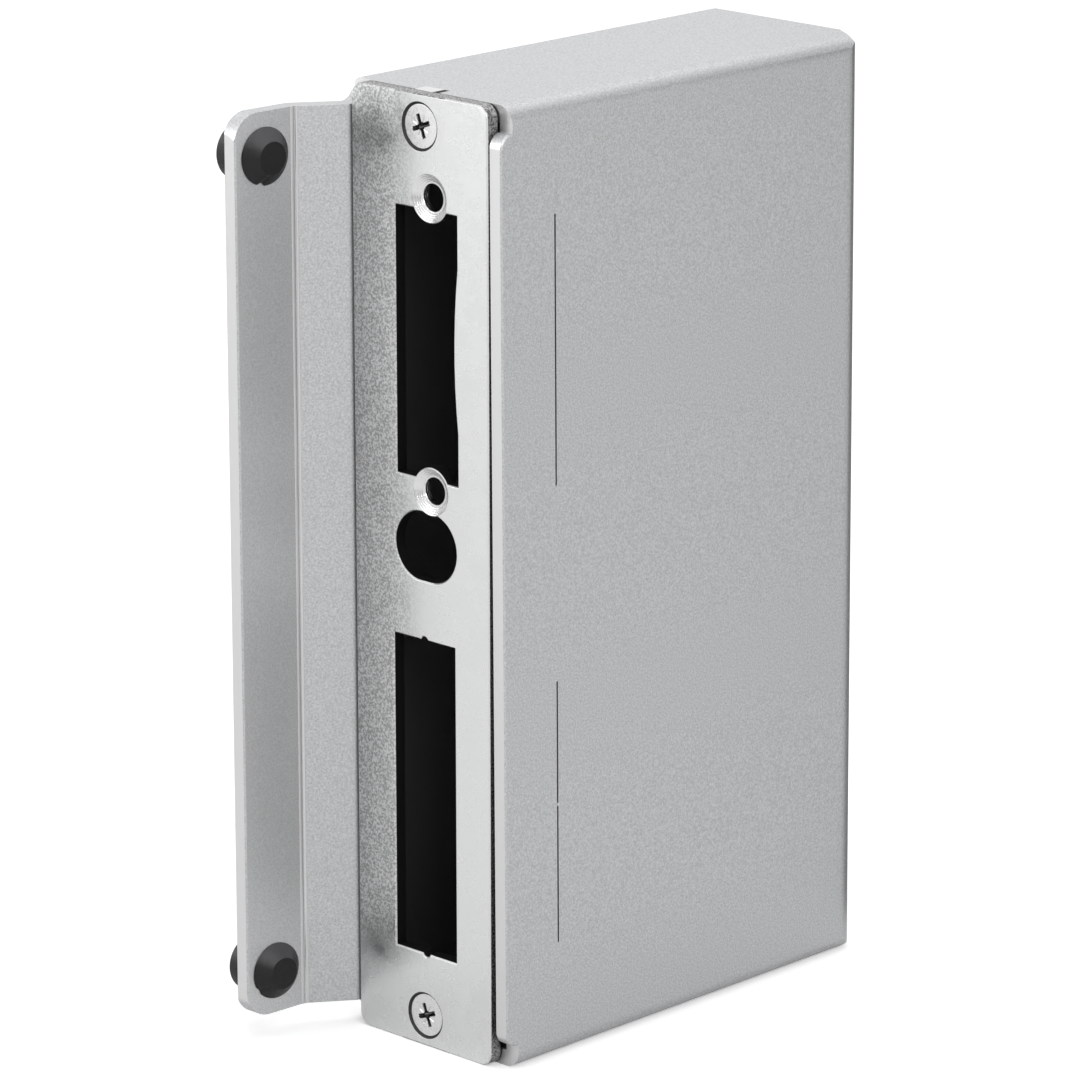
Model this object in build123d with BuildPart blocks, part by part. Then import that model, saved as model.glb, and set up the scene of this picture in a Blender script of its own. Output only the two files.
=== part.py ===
from build123d import *

import os
from math import cos, radians, sin

# Strike box for a hollow-section gate frame, in millimetres.
# A folded sheet-steel tray is closed by a side plate whose front runs on as a joggled stop flange.
# The strike plate closes the front and is held by two countersunk screws in welded lugs.
# Two rubber buffers sit in the flange.
# X runs across the strike plate, Y runs into the box and Z is up.
# The origin is the middle of the bottom face.

# Case
case_height = 172.5
case_width = 40.0
case_depth = 94.0
sheet = 3.0
bend_inside = 0.3
back_bend_inside = 3.0
front_setback = 2.8
wall_splay = 1.0
seam_flat = 0.5

# Ground faces on the rear right corners: how far each reaches along the three edges
ground_across = 7.0
ground_forward = 4.3
ground_down = 5.1

# Front lip of the right wall
lip_inset = 4.6
lip_corner = 2.6
lip_edge_break = 0.3

# Slits in the right wall
slit_width = 0.35
slit_length = 48.0
slit_from_face = 13.0
slit_spacing = 83.3
slit_bridge = 0.5
slit_bridge_rise = 1.5

# Stop flange, which the side plate runs on into
stop_bend_inset = 0.5
stop_angle = 36.0
stop_slope_length = 10.2
stop_land_angle = 3.5
stop_land_length = 13.2
stop_inset = 4.2
stop_tip_corner = 5.0
stop_root_corner = 3.0
stop_root_inset = 3.6
stop_edge_break = 0.4

# Strike plate
plate_thickness = 2.5
plate_corner = 2.5
plate_gap_left = 0.3
plate_gap_right = 0.2
plate_edge_break = 0.25

# Cut-outs in the strike plate
cutout_width = 15.0
latch_cutout_middle_x = 1.3
latch_cutout_rise = 42.3
latch_cutout_height = 47.7
latch_bulge_length = 29.0
latch_bulge = 0.85
bolt_cutout_middle_x = 0.3
bolt_cutout_drop = 39.85
bolt_cutout_height = 58.0
bolt_nick_width = 2.0
bolt_nick_depth = 0.6
oblong_middle_x = 0.8
oblong_rise = 6.15
oblong_height = 12.4

# Threaded holes at the ends of the latch cut-out
keeper_hole = 5.0
keeper_countersink = 8.6
keeper_countersink_angle = 110.0
keeper_ear = 8.8
keeper_hole_x = 2.2
keeper_hole_spacing = 52.0

# Plate screws and the lugs that take them
screw_inset = 5.7
screw_thread = 4.0
screw_length = 12.0
screw_head = 8.0
screw_hole = 4.5
screw_countersink = 8.7
countersink_angle = 90.0
recess_span = 4.5
recess_wing = 1.0
recess_depth = 2.2
recess_taper = 8.0
recess_turn = 31.0
thread_clearance = 0.05
lug_width = 22.0
lug_height = 11.0
lug_tab_left = -3.6
lug_tab_width = 4.3
lug_notch_width = 5.6

# Rubber buffers
buffer_inset = 7.9
buffer_base = 10.3
buffer_face = 5.8
buffer_rise = 2.2
buffer_rim = 0.2
buffer_neck = 6.0
buffer_bulb = 10.3
buffer_bulb_length = 3.8
buffer_bulb_end = 7.0
buffer_bulb_taper = 1.2

# How far a cutting shape runs past the metal that it cuts
overrun = 1.0

# Places that follow from the sizes above
face_y = -(case_depth + front_setback) / 2
back_y = face_y + case_depth
case_front_y = face_y + front_setback
plate_back_y = face_y + plate_thickness
left_x = -case_width / 2
inner_left_x = left_x + sheet
bend_outside = bend_inside + sheet
back_bend_outside = back_bend_inside + sheet
middle_height = case_height / 2
keeper_middle_height = middle_height + latch_cutout_rise
bolt_middle_height = middle_height - bolt_cutout_drop
lug_back_y = plate_back_y + sheet


def right_wall_x(height):
    """X of the right wall's outer face, which leans out towards its foot, about its middle height."""
    return case_width / 2 + wall_splay * (0.5 - height / case_height)


def tray_block(inset, corner, back_corner, front, left):
    """A solid with the tray's outline, its walls moved in by inset, and round bends."""
    bottom = inset
    top = case_height - inset
    back = back_y - inset
    bottom_right = right_wall_x(bottom) - inset
    top_right = right_wall_x(top) - inset
    wall_way = Vector(top_right - bottom_right, 0, top - bottom)
    with BuildPart() as block:
        with BuildSketch(Plane.XZ.offset(-front)) as front_view:
            with BuildLine():
                Polyline((left, bottom), (bottom_right, bottom), (top_right, top), (left, top), close=True)
            make_face()
            fillet(front_view.vertices().sort_by(Axis.X)[-2:], corner)
        extrude(amount=front - back)
        # The rear bend follows the leaning wall up
        bend_plane = Plane((bottom_right, back, bottom), x_dir=(0, 1, 0), z_dir=wall_way)
        with BuildSketch(bend_plane.offset(-overrun)):
            with Locations((overrun, -overrun)):
                Rectangle(back_corner + overrun, back_corner + overrun, align=(Align.MAX, Align.MIN))
            with Locations((-back_corner, back_corner)):
                Circle(back_corner, mode=Mode.SUBTRACT)
        extrude(amount=wall_way.length + 2 * overrun, mode=Mode.SUBTRACT)
    return block.part


# Right wall, back, top and bottom, folded from one sheet with welded corners
with BuildPart() as case_tray:
    add(tray_block(0, bend_outside, back_bend_outside, face_y, inner_left_x))
    add(
        tray_block(sheet, bend_inside, back_bend_inside, face_y - overrun, inner_left_x - overrun),
        mode=Mode.SUBTRACT,
    )
    # The front is cut back for the strike plate, apart from the lip of the right wall
    with BuildSketch(Plane.YZ):
        with Locations(((face_y - overrun + case_front_y) / 2, middle_height)):
            Rectangle(front_setback + overrun, case_height + 2 * overrun)
        with Locations(((face_y + back_y) / 2, middle_height)):
            RectangleRounded(case_depth, case_height - 2 * lip_inset, lip_corner, mode=Mode.SUBTRACT)
    extrude(amount=case_width, both=True, mode=Mode.SUBTRACT)
    chamfer(case_tray.faces().sort_by(Axis.Y)[0].edges(), lip_edge_break)
    # Notches in the top and bottom front edges, for the tabs of the lugs
    with BuildSketch(Plane.XY):
        notch_depth = lug_back_y - case_front_y + overrun
        with Locations((lug_tab_left + lug_notch_width / 2, lug_back_y - notch_depth / 2)):
            Rectangle(lug_notch_width, notch_depth)
    extrude(amount=case_height, mode=Mode.SUBTRACT)
    # Slits in the right wall
    slit_y = face_y + slit_from_face
    lower_slit_height = keeper_middle_height - slit_spacing
    with BuildSketch(Plane.YZ.offset(inner_left_x)):
        with Locations((slit_y, keeper_middle_height), (slit_y, lower_slit_height)):
            Rectangle(slit_width, slit_length)
        with Locations((slit_y, lower_slit_height + slit_bridge_rise)):
            Rectangle(slit_width + overrun, slit_bridge, mode=Mode.SUBTRACT)
    extrude(amount=case_width, mode=Mode.SUBTRACT)
    # The two rear corners, where three bends meet, are welded and ground flat
    for corner_height, up in ((0, -1), (case_height, 1)):
        ground_start = Vector(right_wall_x(corner_height) - ground_across, back_y, corner_height)
        ground_normal = Vector(1 / ground_across, 1 / ground_forward, up / ground_down)
        with BuildSketch(Plane(ground_start, z_dir=ground_normal)):
            Circle(2 * ground_across)
        extrude(amount=ground_across, mode=Mode.SUBTRACT)
case_tray.part.label = "case_tray"


# Path of the side plate's inner face in plan: along the wall, out along the slope and along the land
wall_bend = Vector(inner_left_x, face_y + stop_bend_inset)
slope_way = Vector(-sin(radians(stop_angle)), -cos(radians(stop_angle)))
land_way = Vector(-sin(radians(stop_land_angle)), -cos(radians(stop_land_angle)))
land_bend = wall_bend + slope_way * stop_slope_length
land_tip = land_bend + land_way * stop_land_length
land_normal = Vector(-land_way.Y, land_way.X)
buffer_seat = land_bend + land_way * (stop_land_length / 2)

# Left side of the case, with the stop flange
with BuildPart() as side_plate:
    with BuildSketch(Plane.XY) as side_plan:
        with BuildLine():
            inner_path = Polyline(Vector(inner_left_x, back_y), wall_bend, land_bend, land_tip)
            offset(inner_path, amount=sheet, side=Side.RIGHT, kind=Kind.INTERSECTION)
        make_face()
        bends = side_plan.vertices().sort_by(Axis.Y)
        land_pair = bends[2:4].sort_by(Axis.X)
        wall_pair = bends[4:6].sort_by(Axis.X)
        fillet([land_pair[0], wall_pair[1]], bend_outside)
        fillet([land_pair[1], wall_pair[0]], bend_inside)
    extrude(amount=case_height)
    with BuildSketch(Plane.YZ) as side_outline:
        root_y = face_y + stop_root_inset
        with Locations(((root_y + back_y) / 2, middle_height)):
            Rectangle(back_y - root_y, case_height)
        with Locations(((land_tip.Y + root_y) / 2, middle_height)):
            Rectangle(root_y - land_tip.Y, case_height - 2 * stop_inset)
        roots = side_outline.vertices().group_by(Axis.X)[1].sort_by(Axis.Y)[1:3]
        fillet(roots, stop_root_corner)
        fillet(side_outline.vertices().group_by(Axis.X)[0], stop_tip_corner)
    extrude(amount=case_width, both=True, mode=Mode.INTERSECT)
    # Its welded edges are ground round, apart from a narrow flat at the weld
    wall_edges = side_plate.faces().filter_by(Axis.X).sort_by(Axis.X)[0].edges()
    seam_edges = wall_edges.filter_by(Axis.Y) + wall_edges.filter_by(Axis.Z).sort_by(Axis.Y)[-1:]
    fillet(seam_edges, sheet - seam_flat)
    fillet(side_plate.faces().sort_by(Axis.Y)[0].edges().filter_by(Axis.Z), stop_edge_break)
    # Holes for the buffers
    for buffer_height in (stop_inset + buffer_inset, case_height - stop_inset - buffer_inset):
        seat_plane = Plane(buffer_seat + Vector(0, 0, buffer_height), z_dir=land_normal)
        with BuildSketch(seat_plane.offset(overrun)):
            Circle(buffer_neck / 2)
        extrude(amount=-(sheet + 2 * overrun), mode=Mode.SUBTRACT)
side_plate.part.label = "side_plate"


# Strike plate with its cut-outs
plate_left_x = inner_left_x + plate_gap_left
plate_right_x = right_wall_x(case_height) - sheet - plate_gap_right
plate_width = plate_right_x - plate_left_x
keeper_heights = (
    keeper_middle_height - keeper_hole_spacing / 2,
    keeper_middle_height + keeper_hole_spacing / 2,
)
with BuildPart() as strike_plate:
    with BuildSketch(Plane.XZ.offset(-face_y)):
        with Locations(((plate_left_x + plate_right_x) / 2, middle_height)):
            RectangleRounded(plate_width, case_height, plate_corner)
        # Latch cut-out, whose right edge bulges inwards
        with BuildLine():
            latch_left = latch_cutout_middle_x - cutout_width / 2
            latch_right = latch_cutout_middle_x + cutout_width / 2
            latch_bottom = keeper_middle_height - latch_cutout_height / 2
            latch_top = keeper_middle_height + latch_cutout_height / 2
            bulge_bottom = keeper_middle_height - latch_bulge_length / 2
            bulge_top = keeper_middle_height + latch_bulge_length / 2
            Polyline(
                (latch_right, bulge_top),
                (latch_right, latch_top),
                (latch_left, latch_top),
                (latch_left, latch_bottom),
                (latch_right, latch_bottom),
                (latch_right, bulge_bottom),
            )
            ThreePointArc(
                (latch_right, bulge_bottom),
                (latch_right - latch_bulge, keeper_middle_height),
                (latch_right, bulge_top),
            )
        make_face(mode=Mode.SUBTRACT)
        # Bolt cut-out, with a small round nick in each end
        nick_reach = bolt_cutout_height / 2 - bolt_nick_width / 2 + bolt_nick_depth
        with Locations((bolt_cutout_middle_x, bolt_middle_height)):
            Rectangle(cutout_width, bolt_cutout_height, mode=Mode.SUBTRACT)
        with Locations(*[(bolt_cutout_middle_x, bolt_middle_height + way * nick_reach) for way in (-1, 1)]):
            Circle(bolt_nick_width / 2, mode=Mode.SUBTRACT)
        # Oblong hole, which the lower ear reaches into
        with Locations((oblong_middle_x, middle_height + oblong_rise)):
            SlotOverall(cutout_width, oblong_height, mode=Mode.SUBTRACT)
        with Locations(*[(keeper_hole_x, height) for height in keeper_heights]):
            Circle(keeper_ear / 2)
    extrude(amount=-plate_thickness)
    chamfer(strike_plate.faces().sort_by(Axis.Y)[0].edges(), plate_edge_break)
    # Holes are sunk from the front face
    front_face = Plane.XZ.offset(-face_y)
    with Locations(*[front_face.location * Location((keeper_hole_x, height)) for height in keeper_heights]):
        CounterSinkHole(
            keeper_hole / 2,
            keeper_countersink / 2,
            counter_sink_angle=keeper_countersink_angle,
        )
    screw_heights = (screw_inset, case_height - screw_inset)
    with Locations(*[front_face.location * Location((0, height)) for height in screw_heights]):
        CounterSinkHole(screw_hole / 2, screw_countersink / 2, counter_sink_angle=countersink_angle)
strike_plate.part.label = "strike_plate"


def plate_lug(end):
    """A lug welded under the top (end 1) or on the bottom (end -1), with its tab in the notch."""
    flap = middle_height + end * (middle_height - sheet)
    flap_outside = middle_height + end * middle_height
    screw_height = middle_height + end * (middle_height - screw_inset)
    with BuildPart() as lug:
        with BuildSketch(Plane.XZ.offset(-plate_back_y)):
            with Locations((0, flap - end * lug_height / 2)):
                Rectangle(lug_width, lug_height)
            with Locations((lug_tab_left + lug_tab_width / 2, (flap + flap_outside) / 2)):
                Rectangle(lug_tab_width, sheet)
            with Locations((0, screw_height)):
                Circle(screw_thread / 2 + thread_clearance, mode=Mode.SUBTRACT)
        extrude(amount=-sheet)
    return lug.part


def plate_screw(end):
    """A countersunk screw with a cross recess, seated in the strike plate's countersink."""
    screw_height = middle_height + end * (middle_height - screw_inset)
    head_y = face_y + (screw_countersink - screw_head) / 2
    cone_depth = (screw_head - screw_thread) / 2
    head_plane = Plane((0, head_y, screw_height), x_dir=(1, 0, 0), z_dir=(0, -1, 0))
    with BuildPart() as screw:
        with BuildSketch(Plane((0, 0, screw_height), x_dir=(1, 0, 0), z_dir=(0, 0, 1))):
            with BuildLine():
                Polyline(
                    (0, head_y),
                    (screw_head / 2, head_y),
                    (screw_thread / 2, head_y + cone_depth),
                    (screw_thread / 2, head_y + screw_length),
                    (0, head_y + screw_length),
                    close=True,
                )
            make_face()
        revolve(axis=Axis((0, 0, screw_height), (0, 1, 0)))
        with BuildSketch(head_plane):
            for arm in (0, 90):
                Rectangle(recess_wing, recess_span, rotation=recess_turn + arm)
        extrude(amount=-recess_depth, taper=recess_taper, mode=Mode.SUBTRACT)
    return screw.part


def buffer(height):
    """A push-in rubber buffer: a tapered head on the land, a neck in its hole and a bulb behind."""
    seat = buffer_seat + Vector(0, 0, height)
    bulb_edge = -(sheet + buffer_bulb_length)
    bulb_tip = bulb_edge - buffer_bulb_taper
    with BuildPart() as rubber:
        with BuildSketch(Plane(seat, x_dir=(0, 0, 1), z_dir=land_way * -1)):
            with BuildLine():
                Polyline(
                    (0, buffer_rise),
                    (buffer_face / 2, buffer_rise),
                    (buffer_base / 2, buffer_rim),
                    (buffer_base / 2, 0),
                    (buffer_neck / 2, 0),
                    (buffer_neck / 2, -sheet),
                    (buffer_bulb / 2, -sheet),
                    (buffer_bulb / 2, bulb_edge),
                    (buffer_bulb_end / 2, bulb_tip),
                    (0, bulb_tip),
                    close=True,
                )
            make_face()
        revolve(axis=Axis(seat, land_normal))
    return rubber.part


export_folder = "parts"
os.makedirs(export_folder, exist_ok=True)
for piece in (case_tray.part, side_plate.part, strike_plate.part):
    export_step(piece, f"{export_folder}/{piece.label}.step")
for name, end in (("bottom", -1), ("top", 1)):
    lug = plate_lug(end)
    lug.label = f"plate_lug_{name}"
    export_step(lug, f"{export_folder}/{lug.label}.step")
    screw = plate_screw(end)
    screw.label = f"plate_screw_{name}"
    export_step(screw, f"{export_folder}/{screw.label}.step")
    rubber = buffer(middle_height + end * (middle_height - stop_inset - buffer_inset))
    rubber.label = f"buffer_{name}"
    export_step(rubber, f"{export_folder}/{rubber.label}.step")
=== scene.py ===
"""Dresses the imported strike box: sheet-metal finishes, turned screws, sinks and buffers, and a plain studio."""

from math import cos, pi, radians, sin, sqrt, tan

import bmesh
import bpy
import numpy as np
from mathutils import Matrix, Vector


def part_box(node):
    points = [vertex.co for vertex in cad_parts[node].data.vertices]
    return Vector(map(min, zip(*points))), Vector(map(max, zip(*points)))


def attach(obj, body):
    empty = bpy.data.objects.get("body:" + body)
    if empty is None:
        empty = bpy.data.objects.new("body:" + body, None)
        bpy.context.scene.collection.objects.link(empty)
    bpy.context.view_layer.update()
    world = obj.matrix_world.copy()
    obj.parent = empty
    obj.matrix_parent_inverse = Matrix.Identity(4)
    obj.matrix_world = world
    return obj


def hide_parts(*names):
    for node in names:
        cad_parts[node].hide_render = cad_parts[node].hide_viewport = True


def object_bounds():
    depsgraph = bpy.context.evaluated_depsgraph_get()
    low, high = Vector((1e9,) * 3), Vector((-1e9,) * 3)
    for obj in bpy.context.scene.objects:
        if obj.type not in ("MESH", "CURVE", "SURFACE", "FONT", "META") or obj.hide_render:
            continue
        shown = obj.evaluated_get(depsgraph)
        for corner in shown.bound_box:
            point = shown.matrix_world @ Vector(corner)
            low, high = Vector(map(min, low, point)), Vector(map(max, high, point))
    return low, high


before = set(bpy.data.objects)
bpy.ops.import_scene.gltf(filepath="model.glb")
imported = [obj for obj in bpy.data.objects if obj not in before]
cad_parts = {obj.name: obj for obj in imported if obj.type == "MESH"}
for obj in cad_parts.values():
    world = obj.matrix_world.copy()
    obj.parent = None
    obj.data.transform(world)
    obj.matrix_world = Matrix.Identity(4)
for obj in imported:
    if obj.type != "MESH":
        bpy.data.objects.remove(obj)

bl_info = {
    "name": "Strike Box Dresser",
    "version": (1, 0, 0),
    "blender": (4, 5, 0),
    "location": "View3D > Sidebar > Strike Box",
    "description": "Gives a weld-in strike box its zinc finishes, screws, sinks, buffers and studio",
    "category": "Object",
}

MM = 0.001


def to_linear(srgb_hex):
    """Linear RGB of an sRGB colour such as "#b8babc"."""
    channels = np.array([int(srgb_hex[i:i + 2], 16) for i in (1, 3, 5)]) / 255
    linear = np.where(channels <= 0.04045, channels / 12.92, ((channels + 0.055) / 1.055) ** 2.4)
    return tuple(float(value) for value in linear)


# Places read from the frame
PLATE_LOW, PLATE_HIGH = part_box("strike_plate")
PLATE_FACE_Y = PLATE_LOW.y
CAD_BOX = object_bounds()

# The land that the buffers sit on: its angle in plan, and the buffers' seats on its face
LAND_ANGLE = radians(3.5)
LAND_NORMAL = (cos(LAND_ANGLE), -sin(LAND_ANGLE), 0.0)
LAND_BACKWARDS = (sin(LAND_ANGLE), cos(LAND_ANGLE), 0.0)
BUFFER_SEATS = {"top": (-23.398 * MM, -62.740 * MM, 160.4 * MM), "bottom": (-23.398 * MM, -62.740 * MM, 12.1 * MM)}

# From a buffer's seat to the bend, the angle of the slope in plan, and the flange's lower and upper end
LAND_REACH = 6.6 * MM
SLOPE_ANGLE = radians(36)
FLANGE_ENDS = (4.22 * MM, 168.28 * MM)

# Middles of the keeper holes in the plate's face
KEEPER_HOLES = {"top": (2.2 * MM, PLATE_FACE_Y, 154.55 * MM), "bottom": (2.2 * MM, PLATE_FACE_Y, 102.55 * MM)}

# The case's middle height, its outer left side, and the space inside it: half its width, how far it lies from the
# outer faces at the top, the bottom and the back, and how far behind the plate's face it starts
MIDDLE_HEIGHT = CAD_BOX[1][2] / 2
CASE_LEFT = -20 * MM
INSIDE_HALF_WIDTH = 17.7 * MM
INSIDE_FROM_FACES = 2.8 * MM
INSIDE_FROM_PLATE_FACE = 3.2 * MM

# The sunk flanks round the plate screws: how near the case's ends and the plate's middle line they lie
SCREW_FROM_ENDS = 11 * MM
SCREW_FROM_AXIS = 6 * MM

# The plate's cut-outs lie this near its middle line, and at least this far from the case's ends
CUTOUTS_FROM_AXIS = 12 * MM
CUTOUTS_FROM_ENDS = 1.2 * MM

# Where the dull patch of the plate's zinc starts and is full: across the plate, and up from its foot
DULL_ACROSS = (1 * MM, -9 * MM)
DULL_UP = (12 * MM, 22 * MM)


class StrikeBoxSizes(bpy.types.PropertyGroup):
    """Sizes of the finishes and of the pieces that are added to the frame."""

    blast_grain: bpy.props.FloatProperty(
        name="Blast grain",
        description="Width of the pits left by blasting, drawn a little coarser than the real grit marks",
        default=0.33 * MM,
        unit="LENGTH",
    )
    plate_spangle: bpy.props.FloatProperty(
        name="Plate spangle",
        description="Width of the fine crystals in the plate's zinc",
        default=0.38 * MM,
        unit="LENGTH",
    )
    plate_clouds: bpy.props.FloatProperty(
        name="Plate clouds",
        description="Width of the cloudy patches in the plate's zinc",
        default=6 * MM,
        unit="LENGTH",
    )
    edge_round: bpy.props.FloatProperty(
        name="Edge rounding",
        description="Width of the rounding that blasting and zinc leave along the sheared edges",
        default=0.45 * MM,
        unit="LENGTH",
    )
    crease_width: bpy.props.FloatProperty(
        name="Crease width",
        description="How far the pressed crease of the flange reaches to each side of its bend",
        default=0.75 * MM,
        unit="LENGTH",
    )
    recess_reach: bpy.props.FloatProperty(
        name="Recess reach",
        description="How far each wing of the cross recess reaches from the screw's middle",
        default=2.2 * MM,
        unit="LENGTH",
    )
    recess_wing: bpy.props.FloatProperty(
        name="Recess wing",
        description="Width of each wing of the cross recess",
        default=0.85 * MM,
        unit="LENGTH",
    )
    recess_depth: bpy.props.FloatProperty(
        name="Recess depth",
        description="Depth of the cross recess at its middle",
        default=2.2 * MM,
        unit="LENGTH",
    )
    recess_turn: bpy.props.FloatProperty(
        name="Recess turn",
        description="Turn of the cross recess about the screw's axis",
        default=radians(21),
        subtype="ANGLE",
    )
    thread_pitch: bpy.props.FloatProperty(
        name="Thread pitch",
        description="Pitch of the plate screws' thread",
        default=0.7 * MM,
        unit="LENGTH",
    )
    thread_depth: bpy.props.FloatProperty(
        name="Thread depth",
        description="Depth of the plate screws' thread",
        default=0.38 * MM,
        unit="LENGTH",
    )
    sink_groove: bpy.props.FloatProperty(
        name="Sink groove",
        description="Spacing of the turned rings in the sinks of the keeper holes",
        default=0.33 * MM,
        unit="LENGTH",
    )
    buffer_rise: bpy.props.FloatProperty(
        name="Buffer rise",
        description="How far a buffer stands out of the land",
        default=2.35 * MM,
        unit="LENGTH",
    )


class StrikeBoxColours(bpy.types.PropertyGroup):
    """Colours of the metals and the rubber."""

    case_light: bpy.props.FloatVectorProperty(
        name="Case, light",
        description="Crests of the blasted zinc on the case",
        subtype="COLOR",
        size=3,
        default=to_linear("#c8c9ca"),
    )
    case_dark: bpy.props.FloatVectorProperty(
        name="Case, dark",
        description="Pits of the blasted zinc on the case",
        subtype="COLOR",
        size=3,
        default=to_linear("#abacad"),
    )
    case_inside_painted_shade: bpy.props.FloatVectorProperty(
        name="Case, inside",
        # Painted shade inside the case, where little light reaches
        description="Bare steel inside the case, which blasting and zinc hardly reach",
        subtype="COLOR",
        size=3,
        default=to_linear("#8f8f90"),
    )
    flange_land_painted_light: bpy.props.FloatVectorProperty(
        name="Flange land",
        # Painted light that is added to the blasted zinc on the flange's land
        description="Light that is added to the blasted zinc on the flange's land",
        subtype="COLOR",
        size=3,
        default=to_linear("#818181"),
    )
    cut_edge: bpy.props.FloatVectorProperty(
        name="Cut edges",
        description="Zinc on the sheared front edges of the case and the flange",
        subtype="COLOR",
        size=3,
        default=to_linear("#cdcdcd"),
    )
    plate_zinc: bpy.props.FloatVectorProperty(
        name="Plate zinc",
        description="Bright zinc on the strike plate",
        subtype="COLOR",
        size=3,
        default=to_linear("#d6d7d7"),
    )
    plate_edge_light: bpy.props.FloatVectorProperty(
        name="Plate edge, light",
        description="Zinc on the smooth part of the strike plate's sheared edges",
        subtype="COLOR",
        size=3,
        default=to_linear("#b0b0b0"),
    )
    plate_edge_dark: bpy.props.FloatVectorProperty(
        name="Plate edge, dark",
        description="Zinc on the torn part of the strike plate's sheared edges",
        subtype="COLOR",
        size=3,
        default=to_linear("#606060"),
    )
    plate_zinc_dark: bpy.props.FloatVectorProperty(
        name="Plate zinc, dark",
        description="Duller crystals of the strike plate's zinc, which show near the flange",
        subtype="COLOR",
        size=3,
        default=to_linear("#9fa0a0"),
    )
    plate_reveal_painted_shade: bpy.props.FloatVectorProperty(
        name="Plate reveals",
        # Painted shade on the plate's thickness inside its cut-outs and on the sunk flanks round the screws
        description="Scaled steel on the plate's thickness inside its cut-outs",
        subtype="COLOR",
        size=3,
        default=to_linear("#3c3c3c"),
    )
    recess_painted_shade: bpy.props.FloatVectorProperty(
        name="Recess",
        # Painted shade on the zinc in the screws' recess and round their rim
        description="Dull, dirty zinc in the screws' recess and round their rim",
        subtype="COLOR",
        size=3,
        default=to_linear("#8c8c8c"),
    )
    screw_zinc: bpy.props.FloatVectorProperty(
        name="Screw zinc",
        description="Bright zinc on the screws",
        subtype="COLOR",
        size=3,
        default=to_linear("#dcdcdc"),
    )
    sink_steel: bpy.props.FloatVectorProperty(
        name="Sink steel",
        description="Turned steel in the sinks of the keeper holes",
        subtype="COLOR",
        size=3,
        default=to_linear("#d6d6d6"),
    )
    rubber_top_painted_highlight: bpy.props.FloatVectorProperty(
        name="Rubber dust",
        # Painted highlight on the upper parts of the buffers
        description="Dust on the upper parts of the buffers",
        subtype="COLOR",
        size=3,
        default=to_linear("#464648"),
    )
    rubber: bpy.props.FloatVectorProperty(
        name="Rubber",
        description="Carbon-filled rubber of the buffers",
        subtype="COLOR",
        size=3,
        default=to_linear("#141415"),
    )


class StrikeBoxStudio(bpy.types.PropertyGroup):
    """Where the camera stands and how it looks."""

    azimuth: bpy.props.FloatProperty(
        name="Azimuth",
        description="Where the camera stands, from straight in front of the plate towards +X",
        subtype="ANGLE",
        default=radians(44.223),
    )
    elevation: bpy.props.FloatProperty(
        name="Elevation",
        description="How far the camera looks down",
        subtype="ANGLE",
        default=radians(15.639),
    )
    roll: bpy.props.FloatProperty(
        name="Roll",
        description="Turn of the camera about its own line of sight",
        subtype="ANGLE",
        default=radians(-0.068),
    )
    place: bpy.props.FloatVectorProperty(
        name="Place",
        description="Where the camera stands",
        subtype="TRANSLATION",
        size=3,
        default=(0.69615, -0.7343, 0.36707),
    )
    lens: bpy.props.FloatProperty(
        name="Lens",
        description="Focal length on a 36 mm sensor, in millimetres",
        default=194.455,
    )


def add_node(tree, kind, inputs=None, **settings):
    """Adds a node. inputs gives each socket, by name or number, a value or a (node, output) link."""
    node = tree.nodes.new(kind)
    for name, value in settings.items():
        setattr(node, name, value)
    for socket, value in (inputs or {}).items():
        if isinstance(value, tuple) and isinstance(value[0], bpy.types.Node):
            tree.links.new(value[0].outputs[value[1]], node.inputs[socket])
        else:
            node.inputs[socket].default_value = value
    return node


def new_material(name):
    """An empty node material, and its tree."""
    material = bpy.data.materials.new(name)
    material.use_nodes = True
    tree = material.node_tree
    tree.nodes.clear()
    return material, tree


def opaque(colour):
    """A colour with its alpha, as colour sockets take it."""
    return (*colour, 1.0)


def end_as_metal(tree, colour, roughness, relief=None):
    """Ends a tree with a metallic surface and the output."""
    inputs = {"Base Color": colour, "Metallic": 1.0, "Roughness": roughness}
    if relief is not None:
        inputs["Normal"] = (relief, "Normal")
    surface = add_node(tree, "ShaderNodeBsdfPrincipled", inputs)
    add_node(tree, "ShaderNodeOutputMaterial", {"Surface": (surface, "BSDF")})


def facing(tree, way, start, full):
    """How much a surface faces way: 0 up to the cosine start, and 1 from the cosine full."""
    surface = add_node(tree, "ShaderNodeNewGeometry")
    cosine = add_node(
        tree,
        "ShaderNodeVectorMath",
        {0: (surface, "Normal"), 1: way},
        operation="DOT_PRODUCT",
    )
    return add_node(
        tree,
        "ShaderNodeMapRange",
        {"Value": (cosine, "Value"), "From Min": start, "From Max": full},
        interpolation_type="SMOOTHSTEP",
    )


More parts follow.
